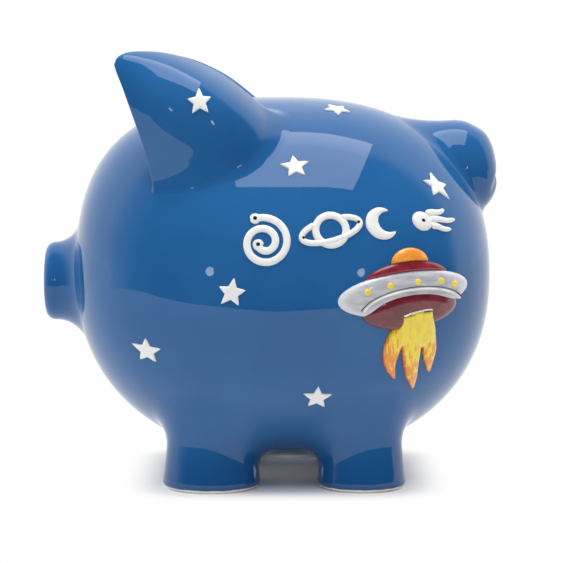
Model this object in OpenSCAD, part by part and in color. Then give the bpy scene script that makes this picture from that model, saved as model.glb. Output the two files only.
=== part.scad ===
// Glazed ceramic piggy bank with a painted flying-saucer relief.
// The pig stands on the table at z = 0, faces -X and shows its decorated flank to -Y.

/* [Barrel] */
// Length of the barrel, from the face to the rump
barrel_l = 186; // [178:1:194]
// Diameter of the barrel
barrel_d = 162; // [156:1:168]
// Height of the barrel's centre line above the table
barrel_z = 89.6; // [88:0.2:92]
// Fullness of the face end, 2 is an ellipse and more is squarer
face_fullness = 2.45; // [2:0.05:3]
// Fullness of the rump end
rump_fullness = 2.3; // [2:0.05:3]
// Thickness of the cast clay wall
wall = 4.2; // [4:0.2:6]

/* [Coin slot and stopper hole] */
// Length of the coin slot
slot_l = 38; // [32:1:44]
// Width of the coin slot
slot_w = 5.2; // [4.8:0.1:6]
// Diameter of the stopper hole in the belly
hole_d = 36; // [30:1:38]
// Diameter of the recess that the stopper's flange lies in
seat_d = 44; // [43:1:48]
// Length of the stopper above its flange
plug_l = 13; // [10:1:16]
// Thickness of the stopper's flange
flange_t = 2.4; // [2:0.2:3]

/* [Snout, feet and tail] */
// Diameter of the snout's flat face
snout_d = 35; // [30:1:40]
// How far the snout stands out of the barrel's end
snout_out = 14; // [12:1:16]
// Diameter of the two front feet
front_foot_d = 43; // [38:1:46]
// Diameter of the two rear feet
rear_foot_d = 39; // [34:1:42]
// Distance of the feet from the middle plane
foot_y = 37; // [36:1:43]
// Diameter of the curled tail's coil, measured over its middle line
tail_coil_d = 22.6; // [22:0.2:26]
// Thickness of the tail
tail_d = 20.4; // [18:0.2:21]

/* [Ears] */
// Thickness of an ear at its middle
ear_t = 16; // [10:1:18]
// How deeply an ear is cupped
ear_cup = 12; // [4:1:14]

/* [Decoration] */
// Height of the raised white lines and stars above the glaze
line_up = 1; // [0.6:0.1:1.6]
// Width of the raised white lines
line_w = 3.2; // [2:0.1:3.6]
ring_w = 2.6;
// Distance from the middle to the tips of a star
star_r = 6.6; // [5:0.1:7.5]
// Height of the saucer's rim above the glaze
rim_up = 2.6; // [1.5:0.1:3.2]

/* [Hidden] */

blue = "steelblue";
white = "white";
barrel_x = 5;
slot_x = 8;
seat_z = barrel_z - barrel_d / 2 + 3.2;
boss_top = seat_z + 6.4;
boss_d = seat_d + 10;
hole_r = hole_d / 2;
rib_r = hole_r - 0.05;
stem_r = hole_r - 0.8;
flange_r = seat_d / 2 - 0.6;
vent_r = 2.5;
snout_z = 88;
foot_x_front = -26.5;
foot_x_rear = 39.5;
tail_at = [89.7, 0, 140.3];
tail_lean = 15;
tail_root = [66, 0, 151];
ear_outline = [
    [-66.2, 186], [-61, 190.1], [-49, 190.6], [-35, 187.2], [-19, 178.4], [-5, 166.5], [3.5, 154],
    [-3, 134], [-21, 113], [-38, 105], [-47.5, 114], [-50.8, 135], [-56.5, 156.3], [-62.6, 173]
];
ear_middle = [-30, 152];
ear_y = 50;
saucer_at = [56, 88.3];
saucer_lean = 6;
flame_outline = [
    [54.9, 79.2], [53.6, 75], [50.2, 70], [48.2, 63.5], [49.2, 57], [52.6, 50.8], [55.2, 56.5],
    [56.6, 62.5], [58, 54.5], [60.8, 46], [62.8, 54.5], [63.2, 62], [65.6, 57.5], [67.9, 52.8],
    [69.8, 59], [70, 66], [69.2, 73], [66.6, 81.8], [60.5, 80.6]
];
// Places on the flank: along the pig, degrees up from the side, and the turn of the shape
galaxy_at = [-3, 15, 200];
planet_at = [25, 19, 18];
moon_at = [48, 22.5, 20];
comet_at = [65, 25.5, 20];
flank_star_places = [[10, 40, 10], [71, 43, 25], [-16.5, 0, -5], [-53, -22.5, 8], [19.5, -35, -4]];
back_star_place = [28.7, 71.6, 40];
ear_star_at = [-30, 167.5];

// A closed smooth line through the points, with n steps from each point to the next.
function smooth(p, n) = let (m = len(p)) [
    for (i = [0 : m - 1], k = [0 : n - 1])
        let (a = p[(i + m - 1) % m], b = p[i], c = p[(i + 1) % m], d = p[(i + 2) % m], t = k / n)
        0.5 * (2 * b + (c - a) * t + (2 * a - 5 * b + 4 * c - d) * t * t
            + (3 * b - a - 3 * c + d) * t * t * t)
];

function ellipse(a, b, n = 48) = [for (i = [0 : n - 1]) [a * cos(360 * i / n), b * sin(360 * i / n)]];

// The unit direction of a line of points at point i.
function heading(p, i) =
    let (d = p[min(i + 1, len(p) - 1)] - p[max(i - 1, 0)]) d / norm(d);

// Both edges of a band of width w that follows the points p and narrows evenly to the share e of its width.
function band_point(p, w, e, i, side) =
    let (d = heading(p, i), h = w / 2 * (1 + (e - 1) * i / (len(p) - 1))) p[i] + side * h * [-d[1], d[0]];

function band(p, w, e = 1) = concat(
    [for (i = [0 : len(p) - 1]) band_point(p, w, e, i, 1)],
    [for (i = [len(p) - 1 : -1 : 0]) band_point(p, w, e, i, -1)]
);

// Half of the barrel's outline: distance from the centre line, place along it.
function barrel_profile(up, steps = 48) = [
    for (i = [0 : steps])
        let (t = 180 * i / steps, c = cos(t), s = sin(t), n = c > 0 ? face_fullness : rump_fullness)
        [(barrel_d / 2 + up) * pow(abs(s), 2 / n), -sign(c) * (barrel_l / 2 + up) * pow(abs(c), 2 / n)]
];

// The barrel's solid, grown by up.
module barrel(up = 0) {
    translate([barrel_x, 0, barrel_z])
        rotate([0, 90, 0])
            rotate_extrude($fn = 96)
                polygon(barrel_profile(up));
}

module body_shell() {
    color(blue)
        difference() {
            union() {
                difference() {
                    barrel();
                    barrel(-wall);
                }
                // the thickened ring around the stopper hole
                intersection() {
                    barrel(-wall / 2);
                    translate([barrel_x, 0, 0])
                        cylinder(h = boss_top, d = boss_d, $fn = 64);
                }
            }
            translate([slot_x, 0, barrel_z + barrel_d / 2])
                coin_slot();
            translate([barrel_x, 0, 0])
                cylinder(h = boss_top + 1, r = hole_r, $fn = 64);
            translate([barrel_x, 0, 0])
                cylinder(h = seat_z, d = seat_d, $fn = 64);
            // a vent into each hollow foot
            for (x = [foot_x_front, foot_x_rear], side = [-1, 1])
                translate([x, side * foot_y, 0])
                    cylinder(h = barrel_z / 2, r = vent_r, $fn = 24);
        }
}

// A straight slot with round ends, centred on the top of the barrel.
module coin_slot() {
    cube([slot_l - slot_w, slot_w, 4 * wall], center = true);
    for (side = [-1, 1])
        translate([side * (slot_l - slot_w) / 2, 0, 0])
            cylinder(h = 4 * wall, d = slot_w, center = true, $fn = 32);
}

module snout() {
    round_r = 4;
    neck_r = snout_d / 2 + 4.5;
    face = barrel_l / 2 + snout_out;
    arc = [for (a = [0 : 15 : 90]) [snout_d / 2 - round_r + round_r * sin(a), face - round_r + round_r * cos(a)]];
    flare = [for (a = [0 : 15 : 90]) [neck_r - 5 * cos(a), barrel_l / 2 - 3 + 5 - 5 * sin(a)]];
    color(blue)
        difference() {
            translate([barrel_x, 0, snout_z])
                rotate([0, -90, 0])
                    rotate_extrude($fn = 64)
                        polygon(concat([[0, face]], arc, flare, [[neck_r, barrel_l / 2 - 20], [0, barrel_l / 2 - 20]]));
            barrel();
            for (side = [-1, 1])
                translate([barrel_x - face, side * 7, snout_z])
                    rotate([0, 90, 0])
                        cylinder(h = 7, r = 2.8, center = true, $fn = 32);
        }
}

// The left ear's middle surface: it leans in towards its tip and back towards the rump.
function ear_mid_y(p) = -ear_y + 0.15 * (p[0] - ear_middle[0]) + 0.1 * (p[1] - ear_middle[1]);

// A point on the ear: share of the way out to the rim, rim point, and half the thickness at
// the middle, which is positive on the outer side.
function ear_point(out, rim, half) =
    let (p = ear_middle + out * (rim - ear_middle))
    [p[0], ear_mid_y(p) - ear_cup * (1 - out * out) - half * sqrt(1 - pow(out, 4)), p[1]];

// One petal-shaped ear on the left side, grown by up on each face, as a closed skin of rings
// from the outer middle over the rim to the inner middle.
module ear_petal(up = 0) {
    half = ear_t / 2 + up;
    rim = smooth(ear_outline, 3);
    n = len(rim);
    shares = [0.25, 0.5, 0.7, 0.85, 0.95, 0.99];
    k = len(shares);
    outs = concat(shares, [1], [for (i = [k - 1 : -1 : 0]) shares[i]]);
    rings = len(outs);
    points = concat(
        [ear_point(0, ear_middle, half)],
        [for (j = [0 : rings - 1], i = [0 : n - 1]) ear_point(outs[j], rim[i], j < k ? half : -half)],
        [ear_point(0, ear_middle, -half)]
    );
    faces = concat(
        [for (i = [0 : n - 1]) [0, 1 + i, 1 + (i + 1) % n]],
        [for (j = [0 : rings - 2], i = [0 : n - 1]) [1 + j * n + i, 1 + (j + 1) * n + i, 1 + j * n + (i + 1) % n]],
        [for (j = [0 : rings - 2], i = [0 : n - 1])
            [1 + j * n + (i + 1) % n, 1 + (j + 1) * n + i, 1 + (j + 1) * n + (i + 1) % n]],
        [for (i = [0 : n - 1]) [1 + rings * n, 1 + (rings - 1) * n + (i + 1) % n, 1 + (rings - 1) * n + i]]
    );
    polyhedron(points, faces, convexity = 4);
}

module ear_left() {
    color(blue)
        difference() {
            ear_petal();
            barrel();
        }
}

module ear_right() {
    mirror([0, 1, 0])
        ear_left();
}

module tail() {
    color(blue)
        difference() {
            union() {
                translate(tail_at)
                    rotate([0, 90 - tail_lean, 0])
                        rotate_extrude($fn = 64)
                            translate([tail_coil_d / 2, 0])
                                circle(d = tail_d, $fn = 48);
                translate(tail_root)
                    sphere(d = 18, $fn = 48);
                translate(tail_root)
                    rotate([0, 90, 0])
                        cylinder(h = 16, d = 18, $fn = 48);
            }
            barrel();
        }
}

// A hollow foot, open at the top against the barrel.
module foot(x, y, d) {
    edge = 3;
    sole = [for (a = [0 : 15 : 90]) [d / 2 - edge + edge * sin(a), edge - edge * cos(a)]];
    color(blue)
        difference() {
            translate([x, y, 0])
                rotate_extrude($fn = 64)
                    polygon(concat([[0, 0]], sole, [[d / 2, 50], [0, 50]]));
            barrel();
            translate([x, y, wall])
                cylinder(h = 50, d = d - 2 * wall, $fn = 64);
        }
}

module foot_front_left() {
    foot(foot_x_front, -foot_y, front_foot_d);
}

module foot_front_right() {
    foot(foot_x_front, foot_y, front_foot_d);
}

module foot_rear_left() {
    foot(foot_x_rear, -foot_y, rear_foot_d);
}

module foot_rear_right() {
    foot(foot_x_rear, foot_y, rear_foot_d);
}

// Raises a flat outline off the barrel, from low to high above the glaze. The outline is
// drawn looking at the flank, at x along the pig and tilted up around the barrel.
module relief(low, high, x, tilt, turn = 0) {
    intersection() {
        difference() {
            barrel(high);
            barrel(low);
        }
        translate([x, 0, barrel_z])
            rotate([-tilt, 0, 0])
                rotate([90, 0, 0])
                    linear_extrude(barrel_d / 2 + 10)
                        rotate(turn)
                            children();
    }
}

// Outlines of the saucer, about its own middle.
module saucer_disc() {
    rotate(saucer_lean)
        polygon(ellipse(28.3, 9.4));
}

module belly_disc(grow = 0) {
    translate([2.6, -6.7])
        rotate(saucer_lean)
            polygon(ellipse(20.5 + grow, 8.1 + grow));
}

module upper_disc() {
    translate([1, 5.7])
        rotate(saucer_lean)
            polygon(ellipse(18.3, 8));
}

module dome_disc() {
    translate([2.5, 13])
        polygon(ellipse(8, 6.2));
}

// Raises one of the saucer's outlines off the flank.
module saucer_relief(low, high) {
    relief(low, high, saucer_at[0], 0)
        translate([0, saucer_at[1] - barrel_z])
            children();
}

module saucer_dome() {
    color("darkorange")
        saucer_relief(0, 1.8)
            difference() {
                dome_disc();
                upper_disc();
            }
}

module saucer_hull() {
    color("darkred")
        saucer_relief(0, 2.2)
            difference() {
                upper_disc();
                saucer_disc();
                belly_disc(1.3);
            }
}

module saucer_rim() {
    color("silver")
        saucer_relief(0, rim_up)
            difference() {
                saucer_disc();
                belly_disc(1.3);
            }
}

module saucer_lip() {
    color("ivory")
        saucer_relief(0, rim_up)
            intersection() {
                difference() {
                    belly_disc(1.3);
                    belly_disc();
                }
                saucer_disc();
            }
}

module saucer_lights() {
    color("gold")
        saucer_relief(rim_up, rim_up + 0.7)
            rotate(saucer_lean)
                for (i = [0 : 4])
                    translate([21.4 * cos(138 - 31 * i), 4.3 * sin(138 - 31 * i)])
                        circle(r = 1.3, $fn = 24);
}

module flame_shape() {
    translate([0, -barrel_z])
        polygon(smooth(flame_outline, 4));
}

module saucer_underside() {
    color("maroon")
        relief(0, 1.6, 0, 0)
            difference() {
                translate([saucer_at[0], saucer_at[1] - barrel_z])
                    belly_disc();
                flame_shape();
            }
}

// The flame's neck stands out of the underside, so it's raised a little more.
module saucer_flame() {
    color("orange")
        relief(0, 2, 0, 0)
            flame_shape();
}

module star_outline(r = star_r) {
    polygon([for (i = [0 : 9]) r * (i % 2 == 0 ? 1 : 0.45) * [sin(36 * i), cos(36 * i)]]);
}

module flank_stars() {
    color(white)
        for (p = flank_star_places)
            relief(0, line_up, p[0], p[1], p[2])
                star_outline();
}

module back_star() {
    color(white)
        relief(0, line_up, back_star_place[0], back_star_place[1], back_star_place[2])
            star_outline();
}

// The star on the left ear: a thin plate on the ear's outer face.
module ear_star() {
    color(white)
        difference() {
            intersection() {
                ear_petal(line_up);
                translate([ear_star_at[0], ear_mid_y(ear_star_at) - ear_cup, ear_star_at[1]])
                    rotate([90, 0, 0])
                        linear_extrude(ear_t)
                            rotate(8)
                                star_outline();
            }
            ear_petal();
        }
}

// A spiral of one and three quarter turns that widens evenly.
galaxy_line = [for (i = [0 : 56]) let (t = i / 56) (2.6 + 8.4 * t) * [cos(630 * t), sin(630 * t)]];

module doodle_line(p) {
    polygon(band(p, line_w));
    for (end = [p[0], p[len(p) - 1]])
        translate(end)
            circle(d = line_w + 1.2, $fn = 24);
}

module galaxy_doodle() {
    color(white)
        relief(0, line_up, galaxy_at[0], galaxy_at[1], galaxy_at[2])
            doodle_line(galaxy_line);
}

// The planet's ring: it passes in front of the planet and ends behind it.
planet_ring = [for (i = [0 : 44]) let (q = 116 + 7 * i) [12.8 * cos(q), 4.6 * sin(q)]];

module planet_doodle() {
    color(white)
        relief(0, line_up, planet_at[0], planet_at[1], planet_at[2]) {
            difference() {
                circle(d = 16, $fn = 48);
                circle(d = 16 - 2 * line_w, $fn = 48);
            }
            polygon(band(planet_ring, ring_w));
        }
}

// A point on the outer (side 1) or inner edge of the crescent, from one horn to the other.
function moon_point(i, side) =
    let (q = 55 + 250 * i / 24) (5.6 + side * (0.3 + 2.6 * sin(7.5 * i))) * [cos(q), sin(q)];

module moon_doodle() {
    color(white)
        relief(0, line_up, moon_at[0], moon_at[1], moon_at[2])
            polygon(concat([for (i = [0 : 24]) moon_point(i, 1)], [for (i = [24 : -1 : 0]) moon_point(i, -1)]));
}

// One wavy tail of the comet, side -1, 0 or 1.
function comet_line(side) = [
    for (i = [0 : 20])
        let (t = i / 20, away = 2.5 + t * (side == 0 ? 12.5 : 9.5), off = 0.8 * sin(400 * t) + 2.1 * side)
        [away * cos(11 * side) - off * sin(11 * side), away * sin(11 * side) + off * cos(11 * side)]
];

module comet_doodle() {
    color(white)
        relief(0, line_up, comet_at[0], comet_at[1], comet_at[2]) {
            translate([-1, 0])
                circle(d = 8.6, $fn = 40);
            for (side = [-1, 0, 1])
                polygon(band(comet_line(side), 3.4, 0.45));
        }
}

// The small black dots on the ball ends of the raised lines.
module dots(place, spots) {
    relief(line_up, line_up + 0.3, place[0], place[1], place[2])
        for (p = spots)
            translate(p)
                circle(d = 1.5, $fn = 16);
}

module doodle_dots() {
    color("black") {
        dots(galaxy_at, [galaxy_line[0], galaxy_line[len(galaxy_line) - 1]]);
        dots(comet_at, [[-1, 0]]);
        dots(planet_at, [[-12.4, 0], [12.4, 0]]);
    }
}

// A soft plastic plug: a flange with a finger bar, and a hollow stem with sealing ribs.
module stopper() {
    bottom = seat_z - flange_t;
    color("gainsboro")
        translate([barrel_x, 0, bottom])
            difference() {
                union() {
                    cylinder(h = flange_t, r = flange_r, $fn = 64);
                    cylinder(h = flange_t + plug_l, r = stem_r, $fn = 64);
                    for (up = [2, 6])
                        translate([0, 0, flange_t + up])
                            cylinder(h = 1.6, r = rib_r, $fn = 64);
                    translate([0, 0, -0.9])
                        cube([18, 5, 1.8], center = true);
                }
                translate([0, 0, flange_t])
                    cylinder(h = plug_l + 1, r = stem_r - 2.4, $fn = 64);
            }
}

body_shell();
snout();
ear_left();
ear_right();
tail();
foot_front_left();
foot_front_right();
foot_rear_left();
foot_rear_right();
saucer_dome();
saucer_hull();
saucer_rim();
saucer_lip();
saucer_lights();
saucer_underside();
saucer_flame();
flank_stars();
ear_star();
back_star();
galaxy_doodle();
planet_doodle();
moon_doodle();
comet_doodle();
doodle_dots();
stopper();
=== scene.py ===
import math

import bpy
import numpy as np
from bpy.props import FloatProperty, FloatVectorProperty, PointerProperty
from bpy.types import Operator, Panel, PropertyGroup
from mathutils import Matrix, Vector


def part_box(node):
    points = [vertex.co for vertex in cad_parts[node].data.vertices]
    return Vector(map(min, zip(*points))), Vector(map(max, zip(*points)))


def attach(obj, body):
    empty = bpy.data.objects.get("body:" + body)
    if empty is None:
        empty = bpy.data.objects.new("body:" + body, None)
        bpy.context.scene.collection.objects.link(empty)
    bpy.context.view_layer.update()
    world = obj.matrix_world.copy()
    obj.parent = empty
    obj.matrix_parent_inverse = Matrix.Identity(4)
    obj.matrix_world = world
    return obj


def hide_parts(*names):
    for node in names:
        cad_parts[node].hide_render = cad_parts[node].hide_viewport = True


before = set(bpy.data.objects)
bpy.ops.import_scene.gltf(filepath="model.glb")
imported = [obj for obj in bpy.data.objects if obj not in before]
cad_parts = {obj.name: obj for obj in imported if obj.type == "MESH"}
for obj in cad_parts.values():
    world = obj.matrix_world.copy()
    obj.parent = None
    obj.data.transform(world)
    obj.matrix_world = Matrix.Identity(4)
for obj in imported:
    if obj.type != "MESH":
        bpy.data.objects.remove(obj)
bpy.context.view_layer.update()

bl_info = {
    "name": "Glazed piggy bank",
    "version": (1, 0, 0),
    "blender": (4, 5, 0),
    "location": "View3D > Sidebar > Piggy Bank",
    "description": "Glazed skin, raised painted decoration, stopper and studio for a ceramic piggy bank",
    "category": "Object",
}

MM = 0.001
X, Y, Z = np.eye(3)
TURN = 2 * math.pi
SINK = 0.5
BANK = "bank"

# ---------------------------------------------------------------- the barrel, from the frame


def corners(*nodes):
    """Lowest and highest corner of the box around the CAD nodes, in metres."""
    boxes = [np.array(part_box(n), float) for n in nodes]
    return np.min([b[0] for b in boxes], axis=0), np.max([b[1] for b in boxes], axis=0)


SHELL_LOW, SHELL_HIGH = corners("body_shell")
RADIUS = (SHELL_HIGH[1] - SHELL_LOW[1]) / 2
HALF_LENGTH = (SHELL_HIGH[0] - SHELL_LOW[0]) / 2
MIDDLE = np.array([(SHELL_LOW[0] + SHELL_HIGH[0]) / 2, 0.0, SHELL_HIGH[2] - RADIUS])
PLUG_LOW, PLUG_HIGH = corners("stopper")
FLANGE_THICK = 2.4 * MM
FLANGE_UNDERSIDE = PLUG_LOW[2] + 1.8 * MM


def length_setting(name, description, default):
    """A panel setting in metres."""
    return FloatProperty(name=name, description=description, default=default, unit="LENGTH")


def colour_setting(name, description, default):
    """A panel setting with three linear parts."""
    return FloatVectorProperty(
        name=name, description=description, default=default, subtype="COLOR", size=3, min=0, max=1)


class ClaySettings(PropertyGroup):
    """Shape of the modelled clay."""

    face_fullness: FloatProperty(
        name="Face fullness", description="Squareness of the face end, 2 is an ellipse", default=2.5,
        min=2.0, max=3.2)
    rump_fullness: FloatProperty(
        name="Rump fullness", description="Squareness of the tail end", default=2.32, min=2.0, max=3.2)
    brow_lift: FloatProperty(
        name="Brow lift", description="How much fuller the forehead is than the chin", default=0.32,
        min=0.0, max=0.5)
    wall: length_setting("Wall", "Thickness of the cast wall", 4.2 * MM)
    slot_length: length_setting("Slot length", "Length of the coin slot", 38 * MM)
    slot_width: length_setting("Slot width", "Width of the coin slot", 5.2 * MM)
    slot_place: length_setting("Slot place", "Middle of the slot behind the barrel's middle", 3 * MM)
    hole_radius: length_setting("Hole radius", "Radius of the stopper hole", 18 * MM)
    seat_radius: length_setting("Seat radius", "Radius of the recess around the hole", 22 * MM)
    hand_waves: length_setting("Hand finish", "Height of the slow waves left by sponging the clay", 0.16 * MM)


class GlazeSettings(PropertyGroup):
    """Colours of the glaze and of the painted decoration."""

    blue: colour_setting("Blue glaze", "Colour where the glaze is even", (0.0185, 0.118, 0.320))
    deep: colour_setting("Deep blue", "Colour where the glaze has pooled", (0.0140, 0.100, 0.285))
    biscuit: colour_setting("Biscuit", "Bare fired clay under the feet", (0.80, 0.78, 0.74))
    white: colour_setting("White slip", "Raised lines and stars", (0.87, 0.87, 0.85))
    bare_height: length_setting("Bare rim", "Height of the unglazed rim of the feet", 1.5 * MM)


class StudioSettings(PropertyGroup):
    """Camera and light."""

    distance: length_setting("Camera distance", "From the camera to the bank", 1.05)
    elevation: FloatProperty(
        name="Elevation", description="How far the camera looks down", default=math.radians(5),
        subtype="ANGLE")
    seen_width: length_setting("Seen width", "Width of the picture at the bank", 0.2550)
    aim_x: length_setting("Aim along", "Camera aim behind the barrel's middle", -0.7 * MM)
    aim_z: length_setting("Aim height", "Camera aim above the table", 87.3 * MM)


SETTINGS = {"piggy_clay": ClaySettings, "piggy_glaze": GlazeSettings, "piggy_studio": StudioSettings}


# ---------------------------------------------------------------- geometry


def unit(v):
    """The vectors v at length 1."""
    return v / np.linalg.norm(v, axis=-1, keepdims=True)


def reach(d):
    """Distance from the barrel's middle to its skin along the unit directions d.

    A rounded barrel: |x / half length| ^ n + (round part / radius) ^ n = 1 / distance ^ n, where the
    fullness n differs between the face and the rump and grows with how far up the direction points.
    Slow sine waves in the direction's three parts stand for the sponged clay."""
    clay = bpy.context.scene.piggy_clay
    across = np.hypot(d[..., 1], d[..., 2])
    up = d[..., 2] / np.maximum(across, 1e-9)
    face = clay.face_fullness + clay.brow_lift * up
    rump = clay.rump_fullness + clay.brow_lift / 3 * up
    n = np.where(d[..., 0] < 0, face, rump)
    even = ((np.abs(d[..., 0]) / HALF_LENGTH) ** n + (across / RADIUS) ** n) ** (-1 / n)
    waves = np.sin(5.1 * d[..., 0] + 1.0) * np.sin(4.3 * d[..., 1] + 0.6) * np.sin(4.7 * d[..., 2] + 2.0)
    finer = np.sin(9.1 * d[..., 0] - 3.2 * d[..., 2]) * np.sin(8.3 * d[..., 2] + 4.0 * d[..., 1])
    return even + clay.hand_waves * (waves + 0.35 * finer)


def height(p):
    """How far points lie above the barrel's skin, measured from its middle."""
    away = p - MIDDLE
    distance = np.linalg.norm(away, axis=-1)
    return distance - reach(away / distance[..., None])


def settle(p, above):
    """The points p moved on the line to the barrel's middle until they lie above its skin by above."""
    d = unit(p - MIDDLE)
    return MIDDLE + d * (reach(d) + above)[..., None]


def skin_normal(p):
    """Outward normals of the barrel's skin under the points p, from the slope of height."""
    step = 0.02 * MM
    slope = [height(p + step * axis) - height(p - step * axis) for axis in np.eye(3)]
    return unit(np.stack(slope, axis=-1))


def crown(x, y, side):
    """Points of the skin straight above (side 1) or below (side -1) the middle plane, at x and y."""
    z = MIDDLE[2] + side * np.sqrt(np.maximum(RADIUS ** 2 - (x - MIDDLE[0]) ** 2 * 0.5 - y ** 2, 1e-6))
    p = np.stack(np.broadcast_arrays(x, y, z), axis=-1)
    for _ in range(8):
        away = p - MIDDLE
        p[..., 2] -= height(p) * np.linalg.norm(away, axis=-1) / away[..., 2]
    return p


def smooth_line(points, count=2000):
    """A smooth open line through the points (Catmull-Rom), as a function of 0..1 measured along it."""
    p = np.asarray(points, float)
    p = np.vstack([2 * p[0] - p[1], p, 2 * p[-1] - p[-2]])
    at = np.linspace(0, len(p) - 3 - 1e-9, count)
    i, t = at.astype(int), (at % 1)[:, None]
    a, b, c, d = p[i], p[i + 1], p[i + 2], p[i + 3]
    square, cube = 2 * a - 5 * b + 4 * c - d, 3 * b - a - 3 * c + d
    line = 0.5 * (2 * b + (c - a) * t + square * t ** 2 + cube * t ** 3)
    gone = np.concatenate([[0], np.cumsum(np.linalg.norm(np.diff(line, axis=0), axis=1))])
    share = gone / gone[-1]

    def at_share(v):
        return np.stack([np.interp(v, share, line[:, k]) for k in range(line.shape[1])], axis=-1)

    return at_share, gone[-1]


def tube_rings(rings, closed=False):
    """One shell from rings of points that each close on themselves: (points, faces, ring and column of
    each).

    Open ends are closed with a fan around the end ring's middle. Faces are turned so that they point
    out."""
    m, n = rings.shape[:2]
    points = rings.reshape(-1, 3)
    i = np.arange(m if closed else m - 1)[:, None] * n
    j = np.arange(n)[None, :]
    k = (j + 1) % n
    after = (i + n) % (m * n)
    faces = np.stack([i + j, i + k, after + k, after + j], axis=-1).reshape(-1, 4).tolist()
    if not closed:
        points = np.vstack([points, rings[0].mean(axis=0), rings[-1].mean(axis=0)])
        first, last = m * n, m * n + 1
        faces += np.stack([k + 0 * j, j, np.full_like(j, first)], axis=-1).reshape(-1, 3).tolist()
        end = (m - 1) * n
        faces += np.stack([end + j, end + k, np.full_like(j, last)], axis=-1).reshape(-1, 3).tolist()
    quads = np.array([f for f in faces if len(f) == 4])
    a, b, c, d = (points[quads[:, q]] for q in range(4))
    volume = (np.cross(a, b) * c).sum() + (np.cross(a, c) * d).sum()
    if volume < 0:
        faces = [f[::-1] for f in faces]
    return points, faces


def flared(tip, wall, blend, rows=24, flare_rows=14, tuck=0.8 * MM):
    """Rings of a limb that grows out of the barrel with a round fillet.

    tip holds the rings of the limb's free end, or None. wall(v) gives the bare limb's ring of points at
    v, from 0 at the end of the tip to 1 inside the barrel, for v as an array with one value for each
    column. Where the limb comes within blend of the skin it flares out along the skin as a quarter
    circle of that radius: at the angle b it stands blend * (1 - sin b) above the skin and blend * (1 -
    cos b) out from the bare limb. It then runs on a little way out, sinking slowly through the skin so
    that no edge shows, and its last rings are tucked under the skin and drawn in to one point."""

    def meet(above):
        low, high = np.zeros(len(blend)), np.ones(len(blend))
        for _ in range(40):
            middle = (low + high) / 2
            outside = height(wall(middle)) > above
            low, high = np.where(outside, middle, low), np.where(outside, high, middle)
        return (low + high) / 2

    start = meet(blend)
    rings = [wall(start * w) for w in np.linspace(0, 1, rows)[1:-1]]
    step = 1e-3
    sweep = [(1 - math.sin(b), 1 - math.cos(b), 0) for b in np.linspace(0, math.pi / 2, flare_rows)]
    sweep += [(0, 1, 0.4 * MM), (0, 1, 0.9 * MM), (0, 1, 1.6 * MM)]
    for rise, run, more in sweep:
        above = blend * rise
        v = meet(above)
        bare = wall(v)
        along = wall(np.minimum(v + step, 1)) - wall(v - step)
        around = np.roll(bare, -1, axis=0) - np.roll(bare, 1, axis=0)
        out = np.cross(along, around)
        out *= np.sign(((bare - bare.mean(axis=0)) * out).sum(axis=-1))[:, None]
        up = skin_normal(bare)
        out = unit(out - (out * up).sum(axis=-1)[:, None] * up)
        rings.append(settle(bare + out * (blend * run + more)[:, None], above - more ** 2 / (5 * MM)))
    edge = rings[-1]
    rings.append(settle(edge + out * 0.3 * MM, np.full(len(blend), -tuck)))
    under = rings[-1]
    for share in (0.25, 0.5, 0.75, 0.93):
        rings.append(settle(under + share * (under.mean(axis=0) - under), np.full(len(blend), -tuck)))
    rings = np.array(rings)
    return rings if tip is None else np.vstack([tip, rings])


def on_flank(along, tilt):
    """A cover for raised shapes, at a place on the flank: along, in mm behind the barrel's middle, and
    tilt, in degrees up from the side. It takes flat points, a along the pig and b up the flank in the
    plane there, and their height over the skin, all in mm. The line that leaves the plane at right
    angles is followed to the skin with Newton's rule."""
    x, up = along * MM, math.radians(tilt)
    out = np.array([0, -math.cos(up), math.sin(up)])
    rise = np.array([0, math.sin(up), math.cos(up)])

    def cover(a, b, above):
        a, b, above = (np.asarray(v, float) * MM for v in np.broadcast_arrays(a, b, above))
        p = MIDDLE + (x + a)[..., None] * X + b[..., None] * rise
        p = p + out * np.sqrt(np.maximum(RADIUS ** 2 - b ** 2 - 0.7 * (x + a) ** 2, 1e-5))[..., None]
        for _ in range(8):
            away = unit(p - MIDDLE)
            p = p - out * (height(p) / np.maximum((away * out).sum(axis=-1), 0.2))[..., None]
        return p + skin_normal(p) * above[..., None]

    return cover


def on_points(points, centre):
    """A cover for raised shapes on a surface that is known by its points and faces -Y, at centre, (x, z).

    The surface near the centre is a cubic in x and z, fitted to the points by least squares."""
    def powers(a, b):
        return np.stack([a ** i * b ** j for i in range(4) for j in range(4 - i)], axis=-1)

    a, b = (points[:, 0] - centre[0]) / MM, (points[:, 2] - centre[1]) / MM
    near = np.hypot(a, b) < 10
    shape = np.linalg.lstsq(powers(a[near], b[near]), points[near, 1] / MM, rcond=None)[0]

    def cover(a, b, above):
        a, b, above = (np.asarray(v, float) for v in np.broadcast_arrays(a, b, above))
        y, step = powers(a, b) @ shape, 0.01
        slope_a = (powers(a + step, b) @ shape - y) / step
        slope_b = (powers(a, b + step) @ shape - y) / step
        out = unit(np.stack([slope_a, -np.ones_like(y), slope_b], axis=-1))
        flat = np.stack([a + centre[0] / MM, y, b + centre[1] / MM], axis=-1)
        return (flat + out * above[..., None]) * MM

    return cover


def turned(a, b, degrees):
    """The flat points (a, b) turned anticlockwise."""
    c, s = math.cos(math.radians(degrees)), math.sin(math.radians(degrees))
    return a * c - b * s, a * s + b * c


def bead(q, up, full=0.8):
    """Heights around a raised bead at the angles q: up * sin(q) ^ full, and nearly flat underneath."""
    rise = np.abs(np.sin(q))
    return np.where(np.sin(q) > 0, up * rise ** full, -SINK * rise ** 0.5)


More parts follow.
